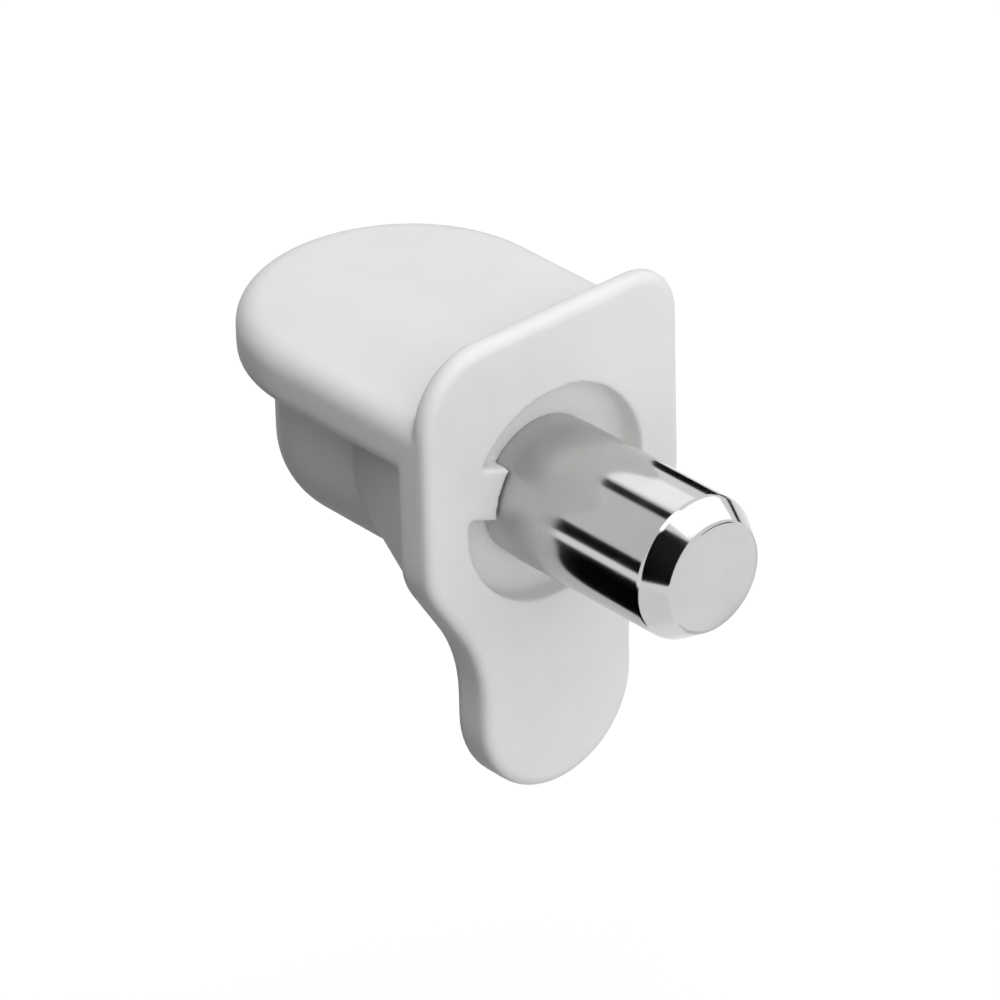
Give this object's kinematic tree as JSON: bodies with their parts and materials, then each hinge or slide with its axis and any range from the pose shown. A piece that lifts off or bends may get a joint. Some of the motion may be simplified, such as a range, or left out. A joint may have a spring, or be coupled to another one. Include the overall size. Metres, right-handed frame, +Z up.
{
  "type": "shelf support pin",
  "caption": "White moulded shelf support with a flat half-round rest, a back plate with lip and tongue, and a bright steel pin that plugs into a cabinet wall.",
  "frame": {"origin": "on the pin's axis, in the plane of the face that lies against the cabinet wall", "axes": "+Y along the pin into the wall, +Z up, the shelf rest stands out towards -Y"},
  "size_m": [0.011, 0.0204, 0.0177],
  "materials": {
    "white_plastic": "soft gloss as moulded",
    "nickel_steel": "bright nickel plate over turned steel"
  },
  "bodies": {
    "root": {"support_body": "white_plastic", "steel_pin": "nickel_steel"}
  },
  "joints": []
}
